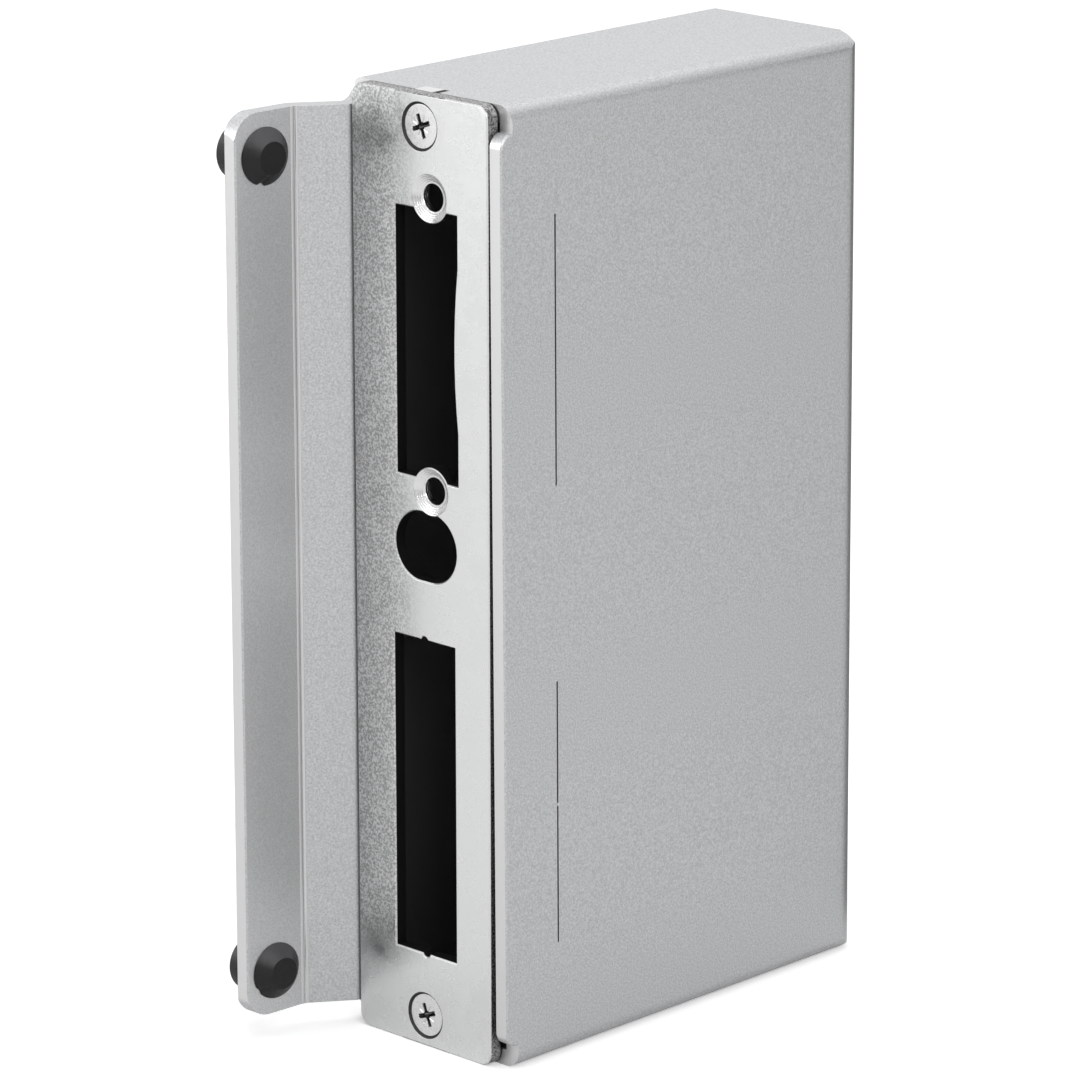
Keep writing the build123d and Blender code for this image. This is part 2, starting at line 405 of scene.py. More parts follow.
def blasted_zinc(sizes, colours):
    """Blasted and zinc-plated sheet steel: a matt, fine-grained metal that glints from its small pits.

    Its sheared front edges are smoother and lighter, and the inside of the case is painted darker as shade."""
    material, tree = new_material("blasted_zinc")
    place = add_node(tree, "ShaderNodeTexCoord")
    pits = add_node(
        tree,
        "ShaderNodeTexNoise",
        {"Vector": (place, "Object"), "Scale": 1 / sizes.blast_grain, "Detail": 2.0, "Roughness": 0.6},
    )
    tone = add_node(
        tree,
        "ShaderNodeMapRange",
        {"Value": (pits, "Fac"), "From Min": 0.32, "From Max": 0.68},
    )
    blasted = add_node(
        tree,
        "ShaderNodeMix",
        {0: (tone, "Result"), 6: opaque(colours.case_dark), 7: opaque(colours.case_light)},
        data_type="RGBA",
    )
    cut = facing(tree, (0, -1, 0), 0.86, 0.97)
    outside = add_node(
        tree,
        "ShaderNodeMix",
        {0: (cut, "Result"), 6: (blasted, 2), 7: opaque(colours.cut_edge)},
        data_type="RGBA",
    )
    # Inside the case, at the points between its walls, behind the plate and before the back, the colour is painted
    # darker as shade
    parts = add_node(tree, "ShaderNodeSeparateXYZ", {0: (place, "Object")})
    depth_x = add_node(
        tree, "ShaderNodeMath", {0: (parts, "X")}, operation="ABSOLUTE"
    )
    inside_x = add_node(
        tree, "ShaderNodeMath", {0: (depth_x, "Value"), 1: INSIDE_HALF_WIDTH}, operation="LESS_THAN"
    )
    off_middle = add_node(
        tree, "ShaderNodeMath", {0: (parts, "Z"), 1: MIDDLE_HEIGHT}, operation="SUBTRACT"
    )
    depth_z = add_node(
        tree, "ShaderNodeMath", {0: (off_middle, "Value")}, operation="ABSOLUTE"
    )
    inside_z = add_node(
        tree,
        "ShaderNodeMath",
        {0: (depth_z, "Value"), 1: MIDDLE_HEIGHT - INSIDE_FROM_FACES},
        operation="LESS_THAN",
    )
    behind_plate = add_node(
        tree,
        "ShaderNodeMath",
        {0: (parts, "Y"), 1: PLATE_FACE_Y + INSIDE_FROM_PLATE_FACE},
        operation="GREATER_THAN",
    )
    before_back = add_node(
        tree,
        "ShaderNodeMath",
        {0: (parts, "Y"), 1: CAD_BOX[1][1] - INSIDE_FROM_FACES},
        operation="LESS_THAN",
    )
    inside_xz = add_node(
        tree, "ShaderNodeMath", {0: (inside_x, "Value"), 1: (inside_z, "Value")}, operation="MULTIPLY"
    )
    inside_y = add_node(
        tree, "ShaderNodeMath", {0: (behind_plate, "Value"), 1: (before_back, "Value")}, operation="MULTIPLY"
    )
    inside = add_node(
        tree, "ShaderNodeMath", {0: (inside_xz, "Value"), 1: (inside_y, "Value")}, operation="MULTIPLY"
    )
    # The flange's land faces +X beyond the case's left side, and painted light makes it a little lighter
    faces_right = facing(tree, (1, 0, 0), 0.9, 0.99)
    beyond_side = add_node(
        tree, "ShaderNodeMath", {0: (parts, "X"), 1: CASE_LEFT}, operation="LESS_THAN"
    )
    painted_light_on_land = add_node(
        tree,
        "ShaderNodeMath",
        {0: (faces_right, "Result"), 1: (beyond_side, "Value")},
        operation="MULTIPLY",
    )
    with_painted_light = add_node(
        tree,
        "ShaderNodeMix",
        {0: (painted_light_on_land, "Value"), 6: (outside, 2), 7: opaque(colours.flange_land_painted_light)},
        data_type="RGBA",
        blend_type="SCREEN",
    )
    # Painted shade: the inside of the case gets a darker colour
    colour = add_node(
        tree,
        "ShaderNodeMix",
        {0: (inside, "Value"), 6: (with_painted_light, 2), 7: opaque(colours.case_inside_painted_shade)},
        data_type="RGBA",
    )
    roughness = add_node(
        tree,
        "ShaderNodeMapRange",
        {"Value": (cut, "Result"), "To Min": 0.52, "To Max": 0.34},
    )
    relief = add_node(
        tree,
        "ShaderNodeBump",
        {"Height": (pits, "Fac"), "Distance": 0.03 * MM, "Strength": 0.6},
    )
    end_as_metal(tree, (colour, 2), (roughness, "Result"), relief)
    return material


def bright_zinc_sheet(sizes, colours):
    """Bright zinc plating on rolled sheet: a soft mirror with fine crystals, clouded in patches.

    The crystals tilt the surface by a few degrees, so they show as speckle where the mirrored scene changes, and
    hardly at all where it is even. The sheared edges are duller and darker, and the reveals inside the cut-outs and
    the sunk flanks round the screws are painted dark as shade."""
    material, tree = new_material("bright_zinc_sheet")
    place = add_node(tree, "ShaderNodeTexCoord")
    clouds = add_node(
        tree,
        "ShaderNodeTexNoise",
        {"Vector": (place, "Object"), "Scale": 1 / sizes.plate_clouds, "Detail": 4.0, "Roughness": 0.65},
    )
    crystals = add_node(
        tree,
        "ShaderNodeTexNoise",
        {"Vector": (place, "Object"), "Scale": 1 / sizes.plate_spangle, "Detail": 1.5, "Roughness": 0.5},
    )
    sheared_side = facing(tree, (0, -1, 0), 0.75, 0.5)
    sunk_side = facing(tree, (0, -1, 0), 0.9, 0.74)
    torn = add_node(
        tree,
        "ShaderNodeMapRange",
        {"Value": (crystals, "Fac"), "From Min": 0.38, "From Max": 0.62},
    )
    sheared = add_node(
        tree,
        "ShaderNodeMix",
        {0: (torn, "Result"), 6: opaque(colours.plate_edge_dark), 7: opaque(colours.plate_edge_light)},
        data_type="RGBA",
    )
    # Distances from the plate's middle line and from the case's middle height
    parts = add_node(tree, "ShaderNodeSeparateXYZ", {0: (place, "Object")})
    off_side = add_node(tree, "ShaderNodeMath", {0: (parts, "X")}, operation="ABSOLUTE")
    off_middle = add_node(
        tree, "ShaderNodeMath", {0: (parts, "Z"), 1: MIDDLE_HEIGHT}, operation="SUBTRACT"
    )
    off_end = add_node(tree, "ShaderNodeMath", {0: (off_middle, "Value")}, operation="ABSOLUTE")
    # Round the screws the sunk flank is painted dark as shade as well
    by_screws = add_node(
        tree,
        "ShaderNodeMath",
        {0: (off_end, "Value"), 1: MIDDLE_HEIGHT - SCREW_FROM_ENDS},
        operation="GREATER_THAN",
    )
    near_axis = add_node(
        tree, "ShaderNodeMath", {0: (off_side, "Value"), 1: SCREW_FROM_AXIS}, operation="LESS_THAN"
    )
    screw_area = add_node(
        tree,
        "ShaderNodeMath",
        {0: (by_screws, "Value"), 1: (near_axis, "Value")},
        operation="MULTIPLY",
    )
    flank = add_node(
        tree,
        "ShaderNodeMath",
        {0: (sunk_side, "Result"), 1: (screw_area, "Value")},
        operation="MULTIPLY",
    )
    edge = add_node(
        tree,
        "ShaderNodeMath",
        {0: (sheared_side, "Result"), 1: (flank, "Value")},
        operation="MAXIMUM",
    )
    # The reveals are the edge faces that lie well inside the plate's outline, and they get painted shade
    within_sides = add_node(
        tree, "ShaderNodeMath", {0: (off_side, "Value"), 1: CUTOUTS_FROM_AXIS}, operation="LESS_THAN"
    )
    within_ends = add_node(
        tree,
        "ShaderNodeMath",
        {0: (off_end, "Value"), 1: MIDDLE_HEIGHT - CUTOUTS_FROM_ENDS},
        operation="LESS_THAN",
    )
    in_outline = add_node(
        tree,
        "ShaderNodeMath",
        {0: (within_sides, "Value"), 1: (within_ends, "Value")},
        operation="MULTIPLY",
    )
    # Painted shade: the reveals and the sunk flanks round the screws get a dark colour
    edge_colour = add_node(
        tree,
        "ShaderNodeMix",
        {0: (in_outline, "Value"), 6: (sheared, 2), 7: opaque(colours.plate_reveal_painted_shade)},
        data_type="RGBA",
    )
    rolled_roughness = add_node(
        tree,
        "ShaderNodeMapRange",
        {"Value": (clouds, "Fac"), "From Min": 0.3, "From Max": 0.7, "To Min": 0.2, "To Max": 0.34},
    )
    # The crystals are dull and rougher towards the flange, but not at the plate's foot
    near_flange = add_node(
        tree,
        "ShaderNodeMapRange",
        {"Value": (parts, "X"), "From Min": DULL_ACROSS[0], "From Max": DULL_ACROSS[1]},
        interpolation_type="SMOOTHSTEP",
    )
    above_foot = add_node(
        tree,
        "ShaderNodeMapRange",
        {"Value": (parts, "Z"), "From Min": DULL_UP[0], "From Max": DULL_UP[1]},
        interpolation_type="SMOOTHSTEP",
    )
    in_patch = add_node(
        tree,
        "ShaderNodeMath",
        {0: (near_flange, "Result"), 1: (above_foot, "Result")},
        operation="MULTIPLY",
    )
    dull = add_node(
        tree, "ShaderNodeMath", {0: (torn, "Result"), 1: (in_patch, "Value")}, operation="MULTIPLY"
    )
    face_roughness = add_node(
        tree,
        "ShaderNodeMath",
        {0: (in_patch, "Value"), 1: 0.1, 2: (rolled_roughness, "Result")},
        operation="MULTIPLY_ADD",
    )
    roughness = add_node(
        tree,
        "ShaderNodeMix",
        {0: (edge, "Value"), 2: (face_roughness, "Value"), 3: 0.5},
        data_type="FLOAT",
    )
    zinc = add_node(
        tree,
        "ShaderNodeMix",
        {0: (dull, "Value"), 6: opaque(colours.plate_zinc), 7: opaque(colours.plate_zinc_dark)},
        data_type="RGBA",
    )
    colour = add_node(
        tree,
        "ShaderNodeMix",
        {0: (edge, "Value"), 6: (zinc, 2), 7: (edge_colour, 2)},
        data_type="RGBA",
    )
    relief = add_node(
        tree,
        "ShaderNodeBump",
        {"Height": (crystals, "Fac"), "Distance": 0.014 * MM, "Strength": 0.6},
    )
    end_as_metal(tree, (colour, 2), (roughness, 0), relief)
    return material


def screw_zinc(sizes, colours):
    """Bright zinc on a cold-formed screw: a slightly blurred mirror with faint forming marks.

    Below its face, in the recess and round the rim, the zinc is painted dark as shade."""
    material, tree = new_material("screw_zinc")
    place = add_node(tree, "ShaderNodeTexCoord")
    marks = add_node(
        tree,
        "ShaderNodeTexNoise",
        {"Vector": (place, "Object"), "Scale": 1 / (2 * sizes.plate_spangle), "Detail": 3.0},
    )
    roughness = add_node(
        tree,
        "ShaderNodeMapRange",
        {"Value": (marks, "Fac"), "From Min": 0.3, "From Max": 0.7, "To Min": 0.22, "To Max": 0.36},
    )
    relief = add_node(
        tree,
        "ShaderNodeBump",
        {"Height": (marks, "Fac"), "Distance": 0.02 * MM, "Strength": 0.5},
    )
    parts = add_node(tree, "ShaderNodeSeparateXYZ", {0: (place, "Object")})
    # Painted shade: below the plate's face, in the recess and round the rim, the zinc is darker
    sunk = add_node(
        tree,
        "ShaderNodeMapRange",
        {
            "Value": (parts, "Y"),
            "From Min": PLATE_FACE_Y + 0.37 * MM,
            "From Max": PLATE_FACE_Y + 0.6 * MM,
        },
    )
    colour = add_node(
        tree,
        "ShaderNodeMix",
        {0: (sunk, "Result"), 6: opaque(colours.screw_zinc), 7: opaque(colours.recess_painted_shade)},
        data_type="RGBA",
    )
    end_as_metal(tree, (colour, 2), (roughness, "Result"), relief)
    return material


def turned_steel(colours):
    """Turned steel with thin zinc: bright, with streaks from the cutter that its rings already shape."""
    material, tree = new_material("turned_steel")
    place = add_node(tree, "ShaderNodeTexCoord")
    # Streaks are drawn about 0.3 mm wide, coarser than real cutter marks, so that they show
    streaks = add_node(
        tree,
        "ShaderNodeTexNoise",
        {"Vector": (place, "Object"), "Scale": 1 / (0.3 * MM), "Detail": 2.0, "Roughness": 0.7},
    )
    roughness = add_node(
        tree,
        "ShaderNodeMapRange",
        {"Value": (streaks, "Fac"), "From Min": 0.3, "From Max": 0.7, "To Min": 0.06, "To Max": 0.2},
    )
    relief = add_node(
        tree,
        "ShaderNodeBump",
        {"Height": (streaks, "Fac"), "Distance": 0.03 * MM, "Strength": 0.8},
    )
    end_as_metal(tree, opaque(colours.sink_steel), (roughness, "Result"), relief)
    return material


def pressed_zinc(colours):
    """Zinc on steel that the bending tool has pressed smooth: brighter and less matt than the blasted sheet."""
    material, tree = new_material("pressed_zinc")
    place = add_node(tree, "ShaderNodeTexCoord")
    # Tool marks are drawn 0.4 mm wide, coarser than real ones, so that they show
    marks = add_node(
        tree,
        "ShaderNodeTexNoise",
        {"Vector": (place, "Object"), "Scale": 1 / (0.4 * MM), "Detail": 2.0},
    )
    roughness = add_node(
        tree,
        "ShaderNodeMapRange",
        {"Value": (marks, "Fac"), "From Min": 0.3, "From Max": 0.7, "To Min": 0.34, "To Max": 0.46},
    )
    end_as_metal(tree, opaque(colours.cut_edge), (roughness, "Result"))
    return material


def moulded_rubber(colours):
    """Moulded black rubber: dull, with a soft sheen, and a painted highlight on the parts that face up."""
    material, tree = new_material("moulded_rubber")
    place = add_node(tree, "ShaderNodeTexCoord")
    # The mould's texture is drawn 0.5 mm wide, which is about as fine as the picture shows
    bloom = add_node(
        tree,
        "ShaderNodeTexNoise",
        {"Vector": (place, "Object"), "Scale": 1 / (0.5 * MM), "Detail": 3.0},
    )
    roughness = add_node(
        tree,
        "ShaderNodeMapRange",
        {"Value": (bloom, "Fac"), "From Min": 0.3, "From Max": 0.7, "To Min": 0.42, "To Max": 0.6},
    )
    relief = add_node(
        tree,
        "ShaderNodeBump",
        {"Height": (bloom, "Fac"), "Distance": 0.03 * MM, "Strength": 0.5},
    )
    # Painted highlight: the parts that face up are lighter
    painted_highlight_on_top = facing(tree, (0, 0, 1), 0.25, 0.6)
    colour = add_node(
        tree,
        "ShaderNodeMix",
        {0: (painted_highlight_on_top, "Result"), 6: opaque(colours.rubber), 7: opaque(colours.rubber_top_painted_highlight)},
        data_type="RGBA",
    )
    surface = add_node(
        tree,
        "ShaderNodeBsdfPrincipled",
        {
            "Base Color": (colour, 2),
            "Roughness": (roughness, "Result"),
            "IOR": 1.5,
            "Specular IOR Level": 0.3,
            "Normal": (relief, "Normal"),
        },
    )
    add_node(tree, "ShaderNodeOutputMaterial", {"Surface": (surface, "BSDF")})
    return material


def coat(node_name, material):
    """Gives a CAD node that stays in sight its one material."""
    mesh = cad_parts[node_name].data
    mesh.materials.clear()
    mesh.materials.append(material)


def soft_edged(node_name, piece_name, material, rounding):
    """Puts a merged copy of a CAD node, with its sharp edges rounded, in the node's place.

    Only triangles that lie in one plane are joined, so the flat faces stay flat, and the weighted normals keep them
    even beside the rounded edges."""
    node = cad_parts[node_name]
    mesh = node.data.copy()
    mesh.transform(node.matrix_world)
    shape = bmesh.new()
    shape.from_mesh(mesh)
    bmesh.ops.remove_doubles(shape, verts=shape.verts[:], dist=0.001 * MM)
    bmesh.ops.dissolve_limit(shape, angle_limit=radians(0.02), verts=shape.verts[:], edges=shape.edges[:])
    shape.to_mesh(mesh)
    shape.free()
    mesh.materials.clear()
    mesh.materials.append(material)
    mesh.shade_smooth()
    piece = bpy.data.objects.new(piece_name, mesh)
    bpy.context.scene.collection.objects.link(piece)
    bevel = piece.modifiers.new("edges", "BEVEL")
    bevel.width = rounding
    bevel.segments = 3
    bevel.limit_method = "ANGLE"
    bevel.angle_limit = radians(28)
    bevel.use_clamp_overlap = True
    weights = piece.modifiers.new("flat_faces", "WEIGHTED_NORMAL")
    weights.weight = 100
    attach(piece, "root")
    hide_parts(node_name)
    return piece


def rounded_profile(corners, rounding, steps=5):
    """Points along a profile of (radius, height) corners, the inner ones rounded.

    A corner becomes the curve (1-t)^2 before + 2t(1-t) corner + t^2 after, for t from 0 to 1, where before and after
    lie rounding away from the corner along its two sides."""
    corners = np.asarray(corners, dtype=float)
    inner = corners[1:-1]
    back = corners[:-2] - inner
    on = corners[2:] - inner
    before = inner + back / np.linalg.norm(back, axis=1, keepdims=True) * rounding
    after = inner + on / np.linalg.norm(on, axis=1, keepdims=True) * rounding
    t = np.linspace(0, 1, steps)[None, :, None]
    curve = (1 - t) ** 2 * before[:, None] + 2 * t * (1 - t) * inner[:, None] + t ** 2 * after[:, None]
    return np.concatenate([corners[:1], curve.reshape(-1, 2), corners[-1:]])


def turned_surface(radius, height, first_pole=None, last_pole=None, ring_shut=False):
    """Points and faces of a surface round the Z axis.

    Ring i meets spoke j at (radius[i, j] cos angle_j, radius[i, j] sin angle_j, height[i, j]). A pole closes the
    first or the last ring at its height on the axis, and ring_shut joins the last ring to the first. Faces point
    outwards when the rings run from the top outwards and down."""
    rings, spokes = radius.shape
    angle = np.arange(spokes) * (2 * pi / spokes)
    points = np.stack([radius * np.cos(angle), radius * np.sin(angle), height], axis=-1).reshape(-1, 3)
    spoke = np.arange(spokes)[None, :]
    following = (spoke + 1) % spokes
    ring = np.arange(rings if ring_shut else rings - 1)[:, None]
    here = ring * spokes
    below = (ring + 1) % rings * spokes
    quads = np.stack([here + spoke, below + spoke, below + following, here + following], axis=-1)
    faces = quads.reshape(-1, 4).tolist()
    spoke, following = spoke[0], following[0]
    if first_pole is not None:
        points = np.concatenate([points, [[0, 0, first_pole]]])
        pole = np.full(spokes, len(points) - 1)
        faces += np.stack([pole, spoke, following], axis=-1).tolist()
    if last_pole is not None:
        points = np.concatenate([points, [[0, 0, last_pole]]])
        pole = np.full(spokes, len(points) - 1)
        last = (rings - 1) * spokes
        faces += np.stack([last + following, last + spoke, pole], axis=-1).tolist()
    return points, faces


def set_down(points, middle, right, up, out):
    """Moves points from their own axes to the frame's: X along right, Y along up and Z along out."""
    return points @ np.array([right, up, out]) + np.array(middle)


def add_piece(name, points, faces, material, crease=40):
    """Adds a smooth mesh piece that rides on the body, with creases above that many degrees."""
    mesh = bpy.data.meshes.new(name)
    mesh.from_pydata(points.tolist(), [], faces)
    mesh.materials.append(material)
    mesh.shade_smooth()
    mesh.set_sharp_from_angle(angle=radians(crease))
    piece = bpy.data.objects.new(name, mesh)
    bpy.context.scene.collection.objects.link(piece)
    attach(piece, "root")
    return piece


def crease_shape(sizes):
    """The pressed crease where the flange's land turns into its slope, as an upright bar.

    In plan the bar's front is the curve (1-t)^2 a + 2t(1-t) b + t^2 c, where b is the bend and a and c lie a crease
    width away on the land and on the slope. It stands out by a height times 1 - u^4, less a groove whose depth is
    exp(-((u - 0.15)/0.24)^2), for u from -1 to 1, so two soft ridges are left. Its edges and its back lie inside the
    sheet."""
    bend = np.array(BUFFER_SEATS["top"][:2]) + np.array(LAND_BACKWARDS[:2]) * LAND_REACH
    slope_backwards = np.array([sin(SLOPE_ANGLE), cos(SLOPE_ANGLE)])
    land_end = bend - np.array(LAND_BACKWARDS[:2]) * sizes.crease_width
    slope_end = bend + slope_backwards * sizes.crease_width
    u = np.linspace(-1, 1, 41)[:, None]
    t = (u + 1) / 2
    front = (1 - t) ** 2 * land_end + 2 * t * (1 - t) * bend + t ** 2 * slope_end
    turn = LAND_ANGLE + (SLOPE_ANGLE - LAND_ANGLE) * t
    outwards = np.concatenate([np.cos(turn), -np.sin(turn)], axis=1)
    ridge_height, edge_sunk, groove_depth, bar_depth = 0.09 * MM, 0.02 * MM, 0.15 * MM, 0.4 * MM
    ridges = ridge_height * (1 - u ** 4) - edge_sunk
    groove = groove_depth * np.exp(-(((u - 0.15) / 0.24) ** 2))
    outline = np.concatenate([front + outwards * (ridges - groove), (front - outwards * bar_depth)[::-1]])
    low = np.column_stack([outline, np.full(len(outline), FLANGE_ENDS[0])])
    high = np.column_stack([outline, np.full(len(outline), FLANGE_ENDS[1])])
    count = len(outline)
    here = np.arange(count)
    following = (here + 1) % count
    sides = np.stack([here, following, following + count, here + count], axis=-1).tolist()
    faces = sides + [here[::-1].tolist(), (here + count).tolist()]
    return np.concatenate([low, high]), faces


def recess_depth_at(x, y, sizes):
    """Depth of the cross recess at points of the screw's face.

    Each wing is a bar, the core is a square turned by 45 degrees, and walls lean by 10 degrees, so depth is the
    distance inside the outline over the tangent of the lean. A cone-shaped floor limits it. Between the wings lie
    four shallow ticks."""
    wall_lean = radians(10)
    core_reach = 1.3 * sizes.recess_wing
    floor_flat, floor_slope = 0.6 * MM, 0.6
    tick_half_width, tick_reach, tick_depth = 0.16 * MM, 1.95 * MM, 0.1 * MM
    across = x * cos(sizes.recess_turn) + y * sin(sizes.recess_turn)
    along = y * cos(sizes.recess_turn) - x * sin(sizes.recess_turn)
    half_wing = sizes.recess_wing / 2
    wing_up = np.minimum(half_wing - np.abs(across), sizes.recess_reach - np.abs(along))
    wing_side = np.minimum(half_wing - np.abs(along), sizes.recess_reach - np.abs(across))
    core = (core_reach - np.abs(across) - np.abs(along)) / sqrt(2)
    inside = np.maximum(np.maximum(wing_up, wing_side), core)
    floor = sizes.recess_depth - floor_slope * np.maximum(np.hypot(x, y) - floor_flat, 0)
    recess = np.minimum(inside / tan(wall_lean), floor)
    rising = np.abs(across - along) / sqrt(2)
    falling = np.abs(across + along) / sqrt(2)
    tick = np.minimum(tick_half_width - np.minimum(rising, falling), tick_reach - np.maximum(rising, falling))
    return np.maximum(np.maximum(recess, np.minimum(tick, tick_depth)), 0)


def screw_shape(low, high, sizes):
    """A countersunk screw as rings about its own axis, with its face at height 0.

    On the face a point lies at minus the recess depth at its place. The rim is a rounded profile with a dark groove
    beside the plate, and runs on as the cone to the shank. Below the cone the radius is
    crest - depth * (1 + cos(2 pi * down / pitch - angle)) / 2, a thread that winds once a pitch."""
    head = (high.x - low.x) / 2
    length = high.y - low.y
    crest = head / 2
    spokes = 160
    angle = np.arange(spokes) * (2 * pi / spokes)
    face_rings = np.linspace(0.05 * MM, head - 0.3 * MM, 84)[:, None]
    face_height = -recess_depth_at(face_rings * np.cos(angle), face_rings * np.sin(angle), sizes)
    neck = head - crest
    rim = rounded_profile(
        [(head - 0.29 * MM, 0), (head - 0.14 * MM, 0), (head - 0.2 * MM, -0.6 * MM), (head - 0.62 * MM, -0.6 * MM),
         (crest, -neck), (crest, -neck - 0.2 * MM)],
        0.05 * MM,
    )[1:]
    down = np.arange(neck + 0.3 * MM, length - 0.7 * MM, sizes.thread_pitch / 8)[:, None]
    thread = crest - sizes.thread_depth * (1 + np.cos(2 * pi * down / sizes.thread_pitch - angle)) / 2
    end = np.array([(crest - sizes.thread_depth, -length + 0.4 * MM), (crest - 2 * sizes.thread_depth, -length)])
    even = np.ones(spokes)
    radius = np.concatenate([face_rings * even, rim[:, :1] * even, thread, end[:, :1] * even])
    height = np.concatenate([face_height, rim[:, 1:] * even, -down * even, end[:, 1:] * even])
    middle_depth = float(recess_depth_at(np.array(0.0), np.array(0.0), sizes))
    return turned_surface(radius, height, first_pole=-middle_depth, last_pole=-length)


def sink_shape(sizes):
    """The turned sink of a keeper hole: a ring whose section is closed, with the plate's face at height 0.

    The cone's height is lift - (mouth - radius) / tan(55 degrees), and it carries rings of height
    ripple * cos(2 pi * radius / groove). At its foot a narrow ledge leads to the hole's wall, whose radius carries
    thread rings in the same way. The back lies inside the plate."""
    spokes = 144
    mouth, lift, ripple, half_angle = 4.3 * MM, 0.035 * MM, 0.024 * MM, radians(55)
    wall_radius, wall_ripple, wall_pitch = 2.44 * MM, 0.03 * MM, 0.5 * MM
    cone = np.linspace(4.2, 2.84, 56) * MM
    cone_height = -(mouth - cone) / tan(half_angle) + lift
    cone_height = cone_height + ripple * np.cos(2 * pi * cone / sizes.sink_groove)
    ledge = np.array([2.76, 2.6, 2.5, 2.46]) * MM
    ledge_height = np.array([-1.005, -1.015, -1.03, -1.1]) * MM
    wall_height = np.linspace(-1.15, -2.45, 40) * MM
    wall = wall_radius + wall_ripple * np.cos(2 * pi * wall_height / wall_pitch)
    back = np.array([2.6, 3.2, 4.1]) * MM
    back_height = np.array([-2.4, -1.2, -0.3]) * MM
    # The rings run up the hidden back, then from the wall's foot up the wall, the ledge and the cone. The back's
    # faces cross each other inside the plate, out of sight
    radius = np.concatenate([back, wall[::-1], ledge[::-1], cone[::-1]])
    height = np.concatenate([back_height, wall_height[::-1], ledge_height[::-1], cone_height[::-1]])
    even = np.ones(spokes)
    return turned_surface(radius[:, None] * even, height[:, None] * even, ring_shut=True)


def buffer_shape(sizes, nick_angle, nick_depth, sag):
    """A push-in buffer as rings about its axis, with the land's face at height 0.

    The radius is a rounded profile times 1 - nick * exp(-((angle - nick angle) / width)^4) near the rim, where a
    bit of the moulding's edge is missing, and the face sags by sag towards one side."""
    rise = sizes.buffer_rise
    rim, neck, face_edge, bulb_end, middle = 5.15 * MM, 3.0 * MM, 2.88 * MM, 3.5 * MM, 1.2 * MM
    rim_foot, land_back, bulb_taper, end = 0.02 * MM, -3.02 * MM, -6.8 * MM, -8.0 * MM
    corners = [
        (middle, rise),
        (face_edge, rise),
        (rim, 0.22 * MM),
        (rim, rim_foot),
        (neck, rim_foot),
        (neck, land_back),
        (rim, land_back),
        (rim, bulb_taper),
        (bulb_end, end),
        (middle, end),
    ]
    profile = rounded_profile(corners, 0.09 * MM)
    face_sink = 0.05 * MM
    face = np.array([[0.3 * MM, rise - face_sink], [0.7 * MM, rise - 0.03 * MM]])
    profile = np.concatenate([face, profile])
    spokes = 128
    angle = np.arange(spokes) * (2 * pi / spokes)
    off_nick = (angle - nick_angle + pi) % (2 * pi) - pi
    rim_share = np.exp(-(((profile[:, 1:] - 0.15 * MM) / (0.5 * MM)) ** 2)) * (profile[:, :1] > 4.5 * MM)
    nick = nick_depth * rim_share * np.exp(-(off_nick / 0.12) ** 4)
    radius = profile[:, :1] * (1 - nick)
    sag_share = np.clip(profile[:, 1:] / rise, 0, 1) * profile[:, :1] / (5 * MM)
    height = profile[:, 1:] - sag * sag_share * np.cos(off_nick)
    return turned_surface(radius, height, first_pole=rise - face_sink, last_pole=end)


class STRIKEBOX_OT_case(bpy.types.Operator):
    """Gives the case tray and the side plate their blasted zinc, the lugs turned steel, and adds the flange's crease
    """

    bl_idname = "strikebox.case"
    bl_label = "Case"

    def execute(self, context):
        sizes, colours = context.scene.strikebox_sizes, context.scene.strikebox_colours
        blasted = blasted_zinc(sizes, colours)
        soft_edged("case_tray", "soft_case_tray", blasted, sizes.edge_round)
        soft_edged("side_plate", "soft_side_plate", blasted, sizes.edge_round)
        milled = turned_steel(colours)
        for node_name in ("plate_lug_top", "plate_lug_bottom"):
            coat(node_name, milled)
        points, faces = crease_shape(sizes)
        add_piece("flange_crease", points, faces, pressed_zinc(colours))
        return {"FINISHED"}


class STRIKEBOX_OT_strike_plate(bpy.types.Operator):
    """Gives the strike plate its bright zinc"""

    bl_idname = "strikebox.strike_plate"
    bl_label = "Strike plate"

    def execute(self, context):
        sizes = context.scene.strikebox_sizes
        finish = bright_zinc_sheet(sizes, context.scene.strikebox_colours)
        # The plate's own edges are sharper than the blasted case's
        soft_edged("strike_plate", "soft_strike_plate", finish, sizes.edge_round / 3)
        return {"FINISHED"}


class STRIKEBOX_OT_keeper_sinks(bpy.types.Operator):
    """Adds the turned sinks of the keeper holes"""

    bl_idname = "strikebox.keeper_sinks"
    bl_label = "Keeper sinks"

    def execute(self, context):
        sizes = context.scene.strikebox_sizes
        finish = turned_steel(context.scene.strikebox_colours)
        shape, faces = sink_shape(sizes)
        for end, middle in KEEPER_HOLES.items():
            points = set_down(shape, middle, (1, 0, 0), (0, 0, 1), (0, -1, 0))
            add_piece(f"keeper_sink_{end}", points, faces, finish)
        return {"FINISHED"}


class STRIKEBOX_OT_screws(bpy.types.Operator):
    """Puts threaded screws with a cross recess in place of the plain ones"""

    bl_idname = "strikebox.screws"
    bl_label = "Plate screws"

    def execute(self, context):
        sizes = context.scene.strikebox_sizes
        finish = screw_zinc(sizes, context.scene.strikebox_colours)
        for end in ("top", "bottom"):
            low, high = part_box(f"plate_screw_{end}")
            shape, faces = screw_shape(low, high, sizes)
            middle = ((low.x + high.x) / 2, low.y, (low.z + high.z) / 2)
            points = set_down(shape, middle, (1, 0, 0), (0, 0, 1), (0, -1, 0))
            piece = add_piece(f"zinc_screw_{end}", points, faces, finish)
            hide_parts(f"plate_screw_{end}")
        return {"FINISHED"}


